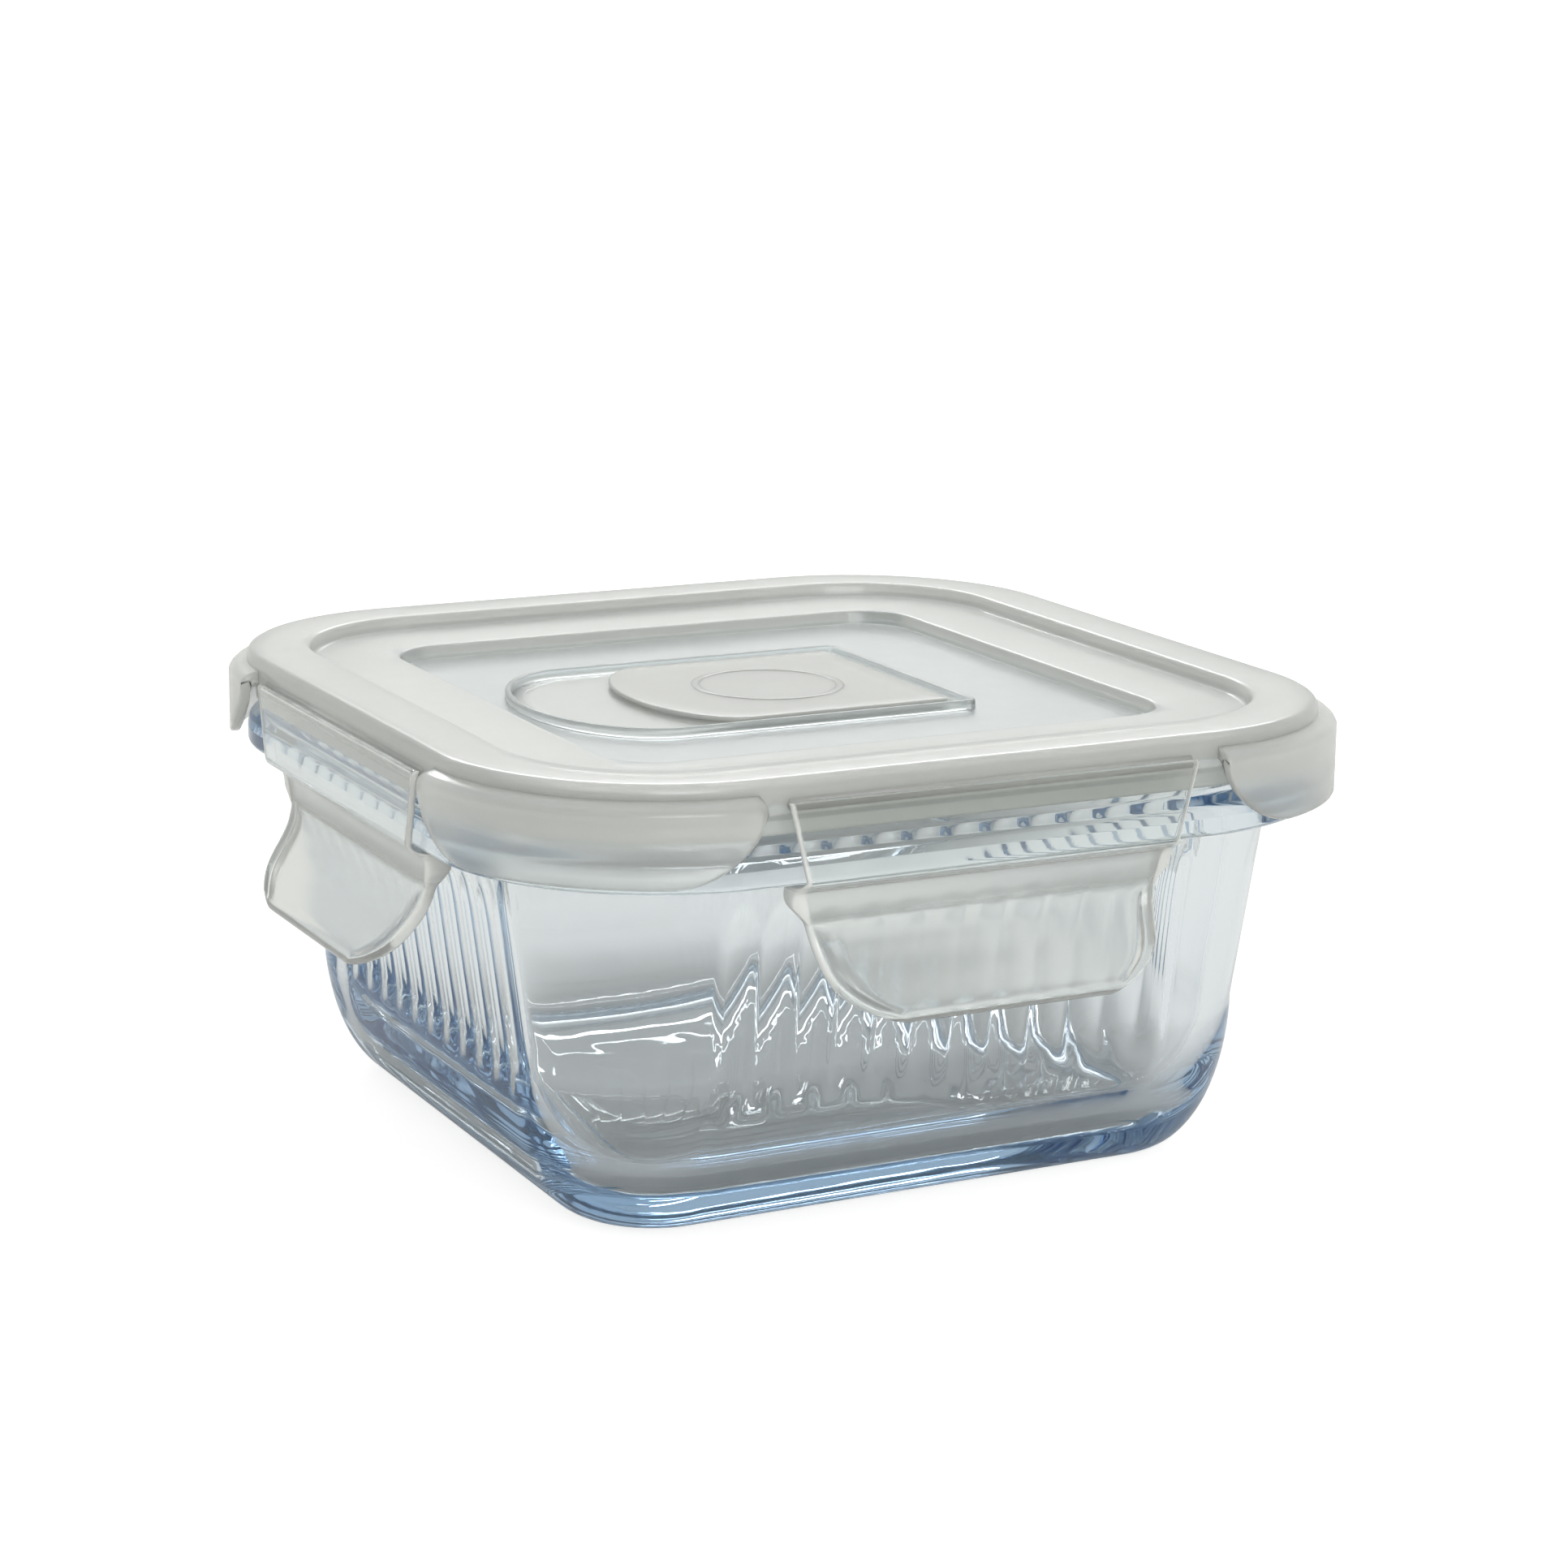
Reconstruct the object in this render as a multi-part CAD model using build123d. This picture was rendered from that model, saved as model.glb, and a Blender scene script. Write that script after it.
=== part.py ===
"""Square glass food storage container with a four-clip snap lid and a steam vent.

Millimetres, +Z up.  The origin is the centre of the foot, on the surface that the dish stands on.
The vent flap's hinge faces +X and its finger scoop -X; the clips face -Y, +X, +Y and -X.

Every outline is a rounded square whose corners share one centre, so a square is given by its
half width alone: a section is drawn as (half width, height) and carried round the square.
"""

from build123d import *
from math import atan, degrees
import os

# ---- driving dimensions ---------------------------------------------------------------------
CORNER = 31.2            # corner centres stand at (+-CORNER, +-CORNER)

# glass dish
FOOT_HALF = 39.6         # outer edge of the ring that the dish stands on
FOOT_WIDTH = 2.8
KICK_UP = 1.2            # height of the hollow under the floor
FLOOR_TOP = 5.6
HEEL_TOP = 20.5          # where the round heel meets the sloping wall
HEEL_HALF = 49.9
NECK_HALF = 53.6         # wall just under the flange
INSIDE_HEEL_HALF = 46.2
INSIDE_FLOOR_HALF = 35.2
MOUTH_HALF = 50.9
FLANGE_HALF = 59.6
FLANGE_BOTTOM = 46.8
FLANGE_SHOULDER = 49.6
BEAD_HALF = 56.8         # upright part of the rim that the lid's wall goes round
BEAD_BOTTOM = 52.2
GLASS_TOP = 56.0
FLUTES = 12              # on each wall
FLUTE_PITCH = 5.4
FLUTE_DEPTH = 0.55
FLUTE_RADIUS = 6.9
FLUTE_BOTTOM = 17.0
FLUTE_TOP = 43.5
FLUTE_FADE = 6.0         # length over which a flute runs out at each end

# lid
SKIRT_HALF = 62.0        # outside of the corner skirts
SKIRT_INSIDE_HALF = 60.6
SKIRT_TOP = 57.3
SKIRT_BOTTOM = 48.0
SKIRT_START = 31.2       # skirts begin this far from the middle of a side
SKIRT_FULL = 42.0        # and reach their full depth here
RIM_TOP = 59.8
RIM_HALF = 59.6
RIM_INSIDE_HALF = 50.9
WALL_HALF = 58.5         # lid wall behind the clips
WALL_INSIDE_HALF = 57.3
WALL_BOTTOM = 52.8
GROOVE_TOP = 58.4
GROOVE_INSIDE_HALF = 52.3
GROOVE_FOOT = 56.4       # underside of the lid between the groove and the plug wall
PLUG_HALF = 50.3         # wall that goes down inside the glass
PLUG_INSIDE_HALF = 49.0
PLUG_BOTTOM = 51.5
LEDGE_TOP = 57.9
LEDGE_THICK = 1.5
PANEL_EDGE_HALF = 39.0
PANEL_HALF = 38.3
PANEL_TOP = 56.1
PANEL_THICK = 1.3

# seal
SEAL_HALF = 56.9
SEAL_INSIDE_HALF = 52.6
SEAL_BOTTOM = 56.1
SEAL_LIP = 0.9

# clips
HINGE_HALF = 60.6        # axis of a clip's hinge
HINGE_Z = 56.4
HINGE_BEAD_R = 0.62
HINGE_GAP = 0.05
SEAT_REACH = 0.5         # how far the lip that holds the hinge bead stands out from the rim
WEB_OUT = 61.0
WEB_IN = 60.2
RIB_OUT = 58.2           # outer face of the rib that is tucked under the flange
RIB_IN = 55.3
RIB_TOP = 46.4
RIB_BOTTOM = 43.4
TAB_ROOT_Z = 41.4
TAB_TIP_HALF = 65.1
TAB_TIP_Z = 29.9
CLIP_TOP_W = 27.7        # half widths of the clip at its levels
CLIP_WEB_W = 25.3
CLIP_RIB_W = 26.0
CLIP_NECK_W = 23.7
CLIP_TAB_W = 22.7
CLIP_TIP_W = 13.5
SPLIT_HALF = 60.0        # everything nearer the glass than this is the flexible locking rib

# steam vent
VENT_HALF_W = 20.3       # outside of the D-shaped kerb round the vent
VENT_RIGHT = 20.6
VENT_ARC_X = -21.6       # where the straight sides end and the half ellipse begins
VENT_ARC_REACH = 13.4
KERB_THICK = 0.9
KERB_TOP = 57.3
FLAP_HALF_W = 17.6
FLAP_ARC_X = -10.5
FLAP_ARC_REACH = 9.6
FLAP_BOTTOM = 56.55
FLAP_TOP = 57.2
FLAP_HINGE_X = 17.6
FLAP_HINGE_Z = 56.9
FLAP_BEAD_R = 0.5
FLAP_HINGE_W = 15.0
VENT_HOLE_R = 4.2
PLUG_STEM_R = 3.9
PLUG_STEM_LENGTH = 1.5
PLUG_DISC_R = 8.4
RING_R = 10.0
RING_WIDTH = 0.8
RING_HEIGHT = 0.25

SIDES = {"front": 0, "right": 90, "back": 180, "left": 270}
ON_BASE = (Align.CENTER, Align.CENTER, Align.MIN)
UNDER_TOP = (Align.CENTER, Align.CENTER, Align.MAX)


def upright(face):
    """Stand a face drawn as (half width, height) up in the XZ plane."""
    return Plane.XZ * face


def around_square(face):
    """Carry an upright section round the rounded square: four straight runs and four corners."""
    section = upright(face)
    run = Pos(0, CORNER, 0) * extrude(section, 2 * CORNER, dir=(0, -1, 0))
    axis = Axis((CORNER, CORNER, 0), (0, 0, 1))
    bend = revolve(Pos(0, CORNER, 0) * section, axis, 90)
    quarter = run + bend
    ring = quarter
    for turn in (90, 180, 270):
        ring = ring + Rot(0, 0, turn) * quarter
    return ring


def slab(half, low, high):
    """Square block about the origin, sharp corners."""
    height = high - low
    return Pos(0, 0, low) * Box(2 * half, 2 * half, height, align=ON_BASE)


def outline(*points):
    return make_face(Polyline(*points, close=True))


def spread(face, width):
    """Thicken an upright face by the same width each way along Y."""
    return extrude(upright(face), width, both=True)


# ---- glass dish -----------------------------------------------------------------------------
def dish_section():
    heel = EllipticalCenterArc(
        (FOOT_HALF, HEEL_TOP), HEEL_HALF - FOOT_HALF, HEEL_TOP, start_angle=270, arc_size=90
    )
    inside_heel = EllipticalCenterArc(
        (INSIDE_FLOOR_HALF, HEEL_TOP),
        INSIDE_HEEL_HALF - INSIDE_FLOOR_HALF,
        HEEL_TOP - FLOOR_TOP,
        start_angle=270,
        arc_size=90,
    )
    rim = Polyline(
        heel @ 1,
        (NECK_HALF, FLANGE_BOTTOM),
        (FLANGE_HALF - 0.7, FLANGE_BOTTOM),
        (FLANGE_HALF, FLANGE_BOTTOM + 0.7),
        (FLANGE_HALF, FLANGE_SHOULDER),
    )
    shoulder = Spline(
        (FLANGE_HALF, FLANGE_SHOULDER),
        (BEAD_HALF, BEAD_BOTTOM),
        tangents=((0, 1), (-0.4, 1)),
    )
    top = Polyline(
        (BEAD_HALF, BEAD_BOTTOM),
        (BEAD_HALF, GLASS_TOP - 0.9),
        (BEAD_HALF - 0.9, GLASS_TOP),
        (MOUTH_HALF + 0.9, GLASS_TOP),
        (MOUTH_HALF, GLASS_TOP - 0.9),
        inside_heel @ 1,
    )
    foot = Polyline(
        inside_heel @ 0,
        (CORNER, FLOOR_TOP),
        (CORNER, KICK_UP),
        (FOOT_HALF - FOOT_WIDTH - KICK_UP, KICK_UP),
        (FOOT_HALF - FOOT_WIDTH, 0),
        heel @ 0,
    )
    return make_face([heel, rim, shoulder, top, inside_heel, foot])


def flute_cutter():
    """Slim barrel whose belly leaves one shallow flute in the sloping wall of the +X side."""
    low = Vector(HEEL_HALF, 0, HEEL_TOP)
    high = Vector(NECK_HALF, 0, FLANGE_BOTTOM)
    lean = (high.X - low.X) / (high.Z - low.Z)
    middle_z = (FLUTE_BOTTOM + FLUTE_TOP) / 2
    middle_x = low.X + lean * (middle_z - low.Z)
    half_length = (FLUTE_TOP - FLUTE_BOTTOM) / 2
    straight = half_length - FLUTE_FADE
    belly = (FLUTE_RADIUS, straight)
    fade = TangentArc(belly, (FLUTE_RADIUS - FLUTE_DEPTH, half_length), tangent=(0, 1))
    upper = [Line((0, half_length), fade @ 1), fade, Line(belly, (FLUTE_RADIUS, 0))]
    lower = [mirror(edge, Plane.XZ) for edge in upper]
    middle = Line((0, -half_length), (0, half_length))
    barrel = revolve(upright(make_face(upper + lower + [middle])), Axis.Z, 360)
    tilt = Rot(0, degrees(atan(lean)), 0)
    return Pos(middle_x + FLUTE_RADIUS - FLUTE_DEPTH, 0, middle_z) * tilt * barrel


def glass_dish():
    dish = around_square(dish_section()) + slab(CORNER, KICK_UP, FLOOR_TOP)
    cutter = flute_cutter()
    for turn in SIDES.values():
        for n in range(FLUTES):
            along = (n - (FLUTES - 1) / 2) * FLUTE_PITCH
            dish = dish - Rot(0, 0, turn) * Pos(0, along, 0) * cutter
    return dish


# ---- lid ------------------------------------------------------------------------------------
def lid_section():
    """Rim, wall, seal groove, plug wall, ledge and panel edge, from outside to inside."""
    return outline(
        (CORNER, PANEL_TOP),
        (PANEL_HALF, PANEL_TOP),
        (PANEL_EDGE_HALF - 0.3, LEDGE_TOP - 0.3),
        (PANEL_EDGE_HALF + 0.3, LEDGE_TOP),
        (RIM_INSIDE_HALF - 0.5, LEDGE_TOP),
        (RIM_INSIDE_HALF, LEDGE_TOP + 0.5),
        (RIM_INSIDE_HALF + 0.3, RIM_TOP - 0.4),
        (RIM_INSIDE_HALF + 0.9, RIM_TOP),
        (RIM_HALF - 1.4, RIM_TOP),
        (RIM_HALF - 0.4, RIM_TOP - 0.4),
        (RIM_HALF, RIM_TOP - 1.3),
        (RIM_HALF, 55.6),
        (WALL_HALF, 54.6),
        (WALL_HALF - 0.1, WALL_BOTTOM),
        (WALL_INSIDE_HALF, WALL_BOTTOM),
        (WALL_INSIDE_HALF, GROOVE_TOP),
        (GROOVE_INSIDE_HALF, GROOVE_TOP),
        (GROOVE_INSIDE_HALF, GROOVE_FOOT),
        (PLUG_HALF, GROOVE_FOOT),
        (PLUG_HALF, PLUG_BOTTOM + 1.0),
        (PLUG_HALF - 0.5, PLUG_BOTTOM),
        (PLUG_INSIDE_HALF, PLUG_BOTTOM),
        (PLUG_INSIDE_HALF, LEDGE_TOP - LEDGE_THICK),
        (PANEL_HALF + 1.6, LEDGE_TOP - LEDGE_THICK),
        (PANEL_HALF + 1.0, PANEL_TOP - PANEL_THICK),
        (CORNER, PANEL_TOP - PANEL_THICK),
    )


def skirt_section():
    return outline(
        (RIM_HALF - 0.6, SKIRT_TOP + 0.9),
        (SKIRT_HALF - 1.1, SKIRT_TOP + 0.4),
        (SKIRT_HALF - 0.3, SKIRT_TOP),
        (SKIRT_HALF, SKIRT_TOP - 0.8),
        (SKIRT_HALF, SKIRT_BOTTOM),
        (SKIRT_INSIDE_HALF, SKIRT_BOTTOM),
        (SKIRT_INSIDE_HALF, 55.2),
        (RIM_HALF - 0.6, 56.2),
    )


def skirt_gap():
    """What is cut from the skirt ring at one side, its ends swept down in two arcs."""
    top = SKIRT_TOP + 3
    low = SKIRT_BOTTOM - 1
    edge = ThreePointArc((SKIRT_START, SKIRT_TOP - 0.5), (34.6, 51.4), (SKIRT_FULL, SKIRT_BOTTOM))
    shape = make_face(
        [
            Line((SKIRT_START, top), edge @ 0),
            edge,
            Line(edge @ 1, (SKIRT_FULL, low)),
            Line((SKIRT_FULL, low), (-SKIRT_FULL, low)),
            Line((-SKIRT_FULL, low), (-SKIRT_FULL, SKIRT_BOTTOM)),
            mirror(edge, Plane.YZ),
            Line((-SKIRT_START, SKIRT_TOP - 0.5), (-SKIRT_START, top)),
            Line((-SKIRT_START, top), (SKIRT_START, top)),
        ]
    )
    # drawn in XZ and pushed out towards -Y, from just outside the rim
    return Pos(0, -RIM_HALF - 0.02, 0) * extrude(upright(shape), 12, dir=(0, -1, 0))


def d_shape(half_width, right, arc_x, arc_reach):
    """Plan outline with a square right end and a half ellipse for its left end."""
    left = EllipticalCenterArc((arc_x, 0), arc_reach, half_width, start_angle=90, arc_size=180)
    box = Polyline((arc_x, -half_width), (right, -half_width), (right, half_width), (arc_x, half_width))
    return make_face([left, box])


def vent_kerb():
    outer = d_shape(VENT_HALF_W, VENT_RIGHT, VENT_ARC_X, VENT_ARC_REACH)
    inner = d_shape(
        VENT_HALF_W - KERB_THICK, VENT_RIGHT - KERB_THICK, VENT_ARC_X, VENT_ARC_REACH - KERB_THICK
    )
    base = PANEL_TOP - 0.4
    return extrude(Pos(0, 0, base) * (outer - inner), KERB_TOP - base)


def vent_hinge_saddle():
    """Low strip with a round trough that the flap's hinge bead lies in."""
    base = PANEL_TOP - 0.3
    strip = Pos(FLAP_HINGE_X, 0, base) * Box(
        2.2, 2 * FLAP_HINGE_W, FLAP_HINGE_Z - base, align=ON_BASE
    )
    trough = Pos(FLAP_HINGE_X, 0, FLAP_HINGE_Z) * Rot(90, 0, 0) * Cylinder(
        FLAP_BEAD_R + HINGE_GAP, 2 * FLAP_HINGE_W + 2
    )
    return strip, trough


def clip_hinge_trough():
    """Round trough along one side of the rim, for the hinge bead of the -Y clip."""
    trough = Cylinder(HINGE_BEAD_R + HINGE_GAP, 2 * SKIRT_START)
    return Pos(0, -HINGE_HALF, HINGE_Z) * Rot(0, 90, 0) * trough


def clip_hinge_seat():
    """Lip of the rim that the trough is cut in, between the two skirts of the -Y side."""
    face = outline(
        (RIM_HALF - 0.5, HINGE_Z + 0.9),
        (RIM_HALF, HINGE_Z + 0.9),
        (RIM_HALF + SEAT_REACH, HINGE_Z + 0.5),
        (RIM_HALF + SEAT_REACH, HINGE_Z - 0.5),
        (RIM_HALF - 0.5, HINGE_Z - 0.5),
    )
    return Rot(0, 0, -90) * spread(face, CLIP_TOP_W - 0.2)


def lid_shell():
    lid = around_square(lid_section()) + slab(CORNER, PANEL_TOP - PANEL_THICK, PANEL_TOP)
    skirts = around_square(skirt_section())
    for turn in SIDES.values():
        skirts = skirts - Rot(0, 0, turn) * skirt_gap()
        lid = lid + Rot(0, 0, turn) * clip_hinge_seat()
    lid = lid + skirts + vent_kerb()
    strip, trough = vent_hinge_saddle()
    lid = lid + strip - trough
    for turn in SIDES.values():
        lid = lid - Rot(0, 0, turn) * clip_hinge_trough()
    return lid - Pos(0, 0, PANEL_TOP) * Cylinder(VENT_HOLE_R, 8)


def lid_seal():
    """Silicone ring with two soft lips, pressed up into the lid's groove."""
    middle = (SEAL_HALF + SEAL_INSIDE_HALF) / 2
    return around_square(
        outline(
            (SEAL_INSIDE_HALF, GROOVE_TOP - 0.05),
            (SEAL_HALF, GROOVE_TOP - 0.05),
            (SEAL_HALF, SEAL_BOTTOM + SEAL_LIP),
            (SEAL_HALF - 0.5, SEAL_BOTTOM),
            (SEAL_HALF - 1.5, SEAL_BOTTOM),
            (middle, SEAL_BOTTOM + 0.6),
            (SEAL_INSIDE_HALF + 1.5, SEAL_BOTTOM),
            (SEAL_INSIDE_HALF + 0.5, SEAL_BOTTOM),
            (SEAL_INSIDE_HALF, SEAL_BOTTOM + SEAL_LIP),
        )
    )


# ---- clips ----------------------------------------------------------------------------------
def clip_section():
    """Web down past the flange, rib tucked under it, and a tab that flares out for the thumb."""
    tab_root_out = (RIB_OUT - 0.2, TAB_ROOT_Z)
    tab_root_in = (RIB_OUT - 1.6, TAB_ROOT_Z - 0.2)
    tip_out = (TAB_TIP_HALF, TAB_TIP_Z + 0.7)
    tip_in = (TAB_TIP_HALF - 0.6, TAB_TIP_Z)
    outside = Polyline(
        (WEB_IN, HINGE_Z),
        (WEB_OUT, HINGE_Z),
        (WEB_OUT, RIB_TOP + 1.5),
        (WEB_OUT - 0.6, RIB_TOP + 0.3),
        (RIB_OUT + 0.4, RIB_TOP - 0.8),
        (RIB_OUT, RIB_TOP - 1.5),
        tab_root_out,
    )
    tab_out = Spline(tab_root_out, (60.2, 36.9), tip_out, tangents=((0.15, -1), (1, -0.75)))
    tab_in = Spline(tip_in, (59.3, 36.2), tab_root_in, tangents=((-1, 0.75), (-0.15, 1)))
    inside = Polyline(
        tab_root_in,
        (RIB_IN + 0.2, RIB_BOTTOM - 0.8),
        (RIB_IN, RIB_BOTTOM),
        (RIB_IN, RIB_TOP - 0.8),
        (RIB_IN + 0.7, RIB_TOP),
        (WEB_IN - 0.9, RIB_TOP),
        (WEB_IN - 0.3, RIB_TOP + 0.2),
        (WEB_IN, RIB_TOP + 1.0),
        (WEB_IN, HINGE_Z),
    )
    return make_face([outside, tab_out, Line(tip_out, tip_in), tab_in, inside])


def clip_outline():
    """Front view of a clip, as (along the side, height)."""
    above = HINGE_Z + 2
    below = TAB_TIP_Z - 1
    tab_side = (CLIP_TAB_W, TAB_TIP_Z + 6.1)
    tip = (CLIP_TIP_W, TAB_TIP_Z)
    edge = Polyline(
        (CLIP_TOP_W, above),
        (CLIP_TOP_W, HINGE_Z),
        (CLIP_WEB_W, RIB_TOP + 0.8),
        (CLIP_RIB_W, RIB_TOP + 0.2),
        (CLIP_RIB_W, RIB_BOTTOM + 0.2),
        (CLIP_NECK_W, TAB_ROOT_Z - 0.2),
        tab_side,
    )
    sweep = Spline(
        tab_side, (CLIP_TAB_W - 3.2, TAB_TIP_Z + 2.3), tip, tangents=((-0.25, -1), (-1, -0.1))
    )
    right = [edge, sweep, Line(tip, (CLIP_TIP_W, below))]
    left = [mirror(part, Plane.YZ) for part in right]
    ends = [
        Line((-CLIP_TOP_W, above), (CLIP_TOP_W, above)),
        Line((CLIP_TIP_W, below), (-CLIP_TIP_W, below)),
    ]
    return make_face(right + left + ends)


def clip_pieces():
    """The -Y clip as three solids that meet face to face: web, locking rib and thumb tab."""
    body = Rot(0, 0, -90) * spread(clip_section(), CLIP_TOP_W + 1)
    window = Pos(0, -50, 0) * extrude(upright(clip_outline()), 20, dir=(0, -1, 0))
    body = body & window
    outside = Box(80, 20, 40, align=(Align.CENTER, Align.MAX, Align.CENTER))
    upper = Pos(0, -SPLIT_HALF, RIB_BOTTOM + 20) * outside
    lower = Pos(0, -SPLIT_HALF, RIB_BOTTOM - 20) * outside
    bead = Pos(0, -HINGE_HALF, HINGE_Z) * Rot(0, 90, 0) * Cylinder(HINGE_BEAD_R, 2 * CLIP_TOP_W - 1)
    web = (body & upper) + bead
    tab = body & lower
    rib = body - upper - lower
    return web, rib, tab


# ---- steam vent -----------------------------------------------------------------------------
def vent_flap():
    plate = d_shape(FLAP_HALF_W, FLAP_HINGE_X, FLAP_ARC_X, FLAP_ARC_REACH)
    flap = extrude(Pos(0, 0, FLAP_BOTTOM) * plate, FLAP_TOP - FLAP_BOTTOM)
    hinge = Pos(FLAP_HINGE_X, 0, FLAP_HINGE_Z)
    length = 2 * FLAP_HINGE_W - 1
    relief = hinge * Box(2.8, 2 * FLAP_HALF_W + 2, 3)
    tongue = hinge * Box(2.8, length, 0.3, align=(Align.MAX, Align.CENTER, Align.MIN))
    bead = hinge * Rot(90, 0, 0) * Cylinder(FLAP_BEAD_R, length)
    ring = Pos(0, 0, FLAP_TOP) * (
        Cylinder(RING_R, 2 * RING_HEIGHT) - Cylinder(RING_R - RING_WIDTH, 2 * RING_HEIGHT)
    )
    return flap - relief + tongue + bead + ring


def vent_plug():
    disc = Cylinder(PLUG_DISC_R, FLAP_BOTTOM - PANEL_TOP, align=ON_BASE)
    stem = Cylinder(PLUG_STEM_R, PLUG_STEM_LENGTH, align=UNDER_TOP)
    return Pos(0, 0, PANEL_TOP) * (disc + stem)


def main():
    pieces = {
        "glass_dish": glass_dish(),
        "lid_shell": lid_shell(),
        "lid_seal": lid_seal(),
        "vent_flap": vent_flap(),
        "vent_plug": vent_plug(),
    }
    web, rib, tab = clip_pieces()
    for side, turn in SIDES.items():
        pieces[f"clip_{side}"] = Rot(0, 0, turn) * web
        pieces[f"locking_rib_{side}"] = Rot(0, 0, turn) * rib
        pieces[f"thumb_tab_{side}"] = Rot(0, 0, turn) * tab
    os.makedirs("parts", exist_ok=True)
    for name, piece in pieces.items():
        export_step(piece, f"parts/{name}.step")
        print(name, round(piece.volume, 1), len(piece.solids()), piece.is_valid)


main()
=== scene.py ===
"""Looks for the square glass food box: pressed glass dish, frosted press-on lid, clips and steam vent.

Lengths in the geometry code are millimetres in the CAD frame; `MM` turns them into metres.
"""

import math

import bpy
from mathutils import Matrix, Vector


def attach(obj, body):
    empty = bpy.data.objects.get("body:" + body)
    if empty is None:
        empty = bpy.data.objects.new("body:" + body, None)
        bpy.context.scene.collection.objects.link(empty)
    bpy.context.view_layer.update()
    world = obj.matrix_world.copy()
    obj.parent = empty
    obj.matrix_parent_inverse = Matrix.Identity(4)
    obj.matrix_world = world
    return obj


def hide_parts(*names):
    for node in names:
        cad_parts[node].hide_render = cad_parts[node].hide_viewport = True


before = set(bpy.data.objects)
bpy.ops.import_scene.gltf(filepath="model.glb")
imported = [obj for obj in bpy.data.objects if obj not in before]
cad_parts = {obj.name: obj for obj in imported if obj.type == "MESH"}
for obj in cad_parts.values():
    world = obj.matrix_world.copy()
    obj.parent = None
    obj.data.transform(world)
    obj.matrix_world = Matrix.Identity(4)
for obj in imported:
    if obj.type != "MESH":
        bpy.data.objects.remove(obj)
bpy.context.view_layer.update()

MM = 0.001
CORNER = 31.2            # centres of the outline's rounded corners
SIDE_TURNS = {"front": 0, "right": 90, "back": 180, "left": 270}


# ---- mesh helpers ---------------------------------------------------------------------------
def mesh_object(name, verts, faces, material):
    mesh = bpy.data.meshes.new(name)
    mesh.from_pydata([Vector(v) * MM for v in verts], [], faces)
    mesh.validate()
    mesh.polygons.foreach_set("use_smooth", [True] * len(mesh.polygons))
    mesh.update()
    obj = bpy.data.objects.new(name, mesh)
    bpy.context.scene.collection.objects.link(obj)
    obj.data.materials.append(material)
    return obj


def outward(verts, faces):
    """The same closed shell with its faces turned to look outwards."""
    volume = 0.0
    for face in faces:
        a = Vector(verts[face[0]])
        for i, j in zip(face[1:], face[2:]):
            volume += a.dot(Vector(verts[i]).cross(Vector(verts[j])))
    return verts, faces if volume > 0 else [face[::-1] for face in faces]


def loft(rows, closed_rows=False, cap_first=False, cap_last=False):
    """Quads between equal closed loops of points. Returns (verts, faces)."""
    n = len(rows[0])
    verts = [p for row in rows for p in row]
    faces = []
    count = len(rows)
    for r in range(count if closed_rows else count - 1):
        a, b = r * n, ((r + 1) % count) * n
        for i in range(n):
            j = (i + 1) % n
            faces.append((a + i, a + j, b + j, b + i))
    for wanted, row, flip in ((cap_first, 0, True), (cap_last, count - 1, False)):
        if wanted:
            centre = len(verts)
            loop = rows[row]
            verts.append(tuple(sum(p[k] for p in loop) / n for k in range(3)))
            for i in range(n):
                a, b = row * n + i, row * n + (i + 1) % n
                faces.append((centre, b, a) if flip else (centre, a, b))
    return outward(verts, faces)


def merge(*parts):
    """Several (verts, faces) as one."""
    verts, faces = [], []
    for v, f in parts:
        start = len(verts)
        verts += v
        faces += [tuple(i + start for i in face) for face in f]
    return verts, faces


def turned(part, degrees):
    c, s = math.cos(math.radians(degrees)), math.sin(math.radians(degrees))
    verts, faces = part
    return [(x * c - y * s, x * s + y * c, z) for x, y, z in verts], faces


def fillet(points, steps=4, closed=False):
    """A polyline of (h, z, radius) as (h, z) with its corners rounded."""
    out = []
    n = len(points)
    for i, (h, z, r) in enumerate(points):
        if r <= 0 or (not closed and i in (0, n - 1)):
            out.append((h, z))
            continue
        here = Vector((h, z))
        before = Vector(points[i - 1][:2]) - here
        after = Vector(points[(i + 1) % n][:2]) - here
        turn = before.angle(after)
        cut = min(r / math.tan(turn / 2), 0.48 * before.length, 0.48 * after.length)
        a, b = here + before.normalized() * cut, here + after.normalized() * cut
        for k in range(steps + 1):
            t = k / steps
            p = a * (1 - t) ** 2 + here * 2 * t * (1 - t) + b * t ** 2
            out.append((p.x, p.y))
    return out


def square_loop(half, z, side_points, corner_steps, radius=None):
    """Closed loop round a rounded square. side_points run from -1 to 1 along a side."""
    radius = half - CORNER if radius is None else radius
    c = half - radius
    loop = []
    for k in range(4):
        turn = Matrix.Rotation(math.radians(90 * k), 2)
        pts = [(t * c, -half) for t in side_points[:-1]]
        for i in range(corner_steps):
            a = math.radians(-90 + 90 * i / corner_steps)
            pts.append((c + radius * math.cos(a), -c + radius * math.sin(a)))
        loop += [(*(turn @ Vector(p)), z) for p in pts]
    return loop


def even(n):
    return [-1 + 2 * i / n for i in range(n + 1)]


def square_rows(section, side_points, corner_steps):
    return [square_loop(h, z, side_points, corner_steps) for h, z in section]


def inward_rows(half, z, side_points, corner_steps, scales):
    """Loops of the same shape as the one at half, shrunk towards the middle."""
    radius = half - CORNER
    return [square_loop(half * s, z, side_points, corner_steps, radius * s) for s in scales]


# ---- material helpers -----------------------------------------------------------------------
# half width of the clip's web, in metres: WEB_EDGE_AT_ZERO + WEB_EDGE_SLOPE * height
WEB_EDGE_SLOPE, WEB_EDGE_AT_ZERO = 0.2527, 0.01344


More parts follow.
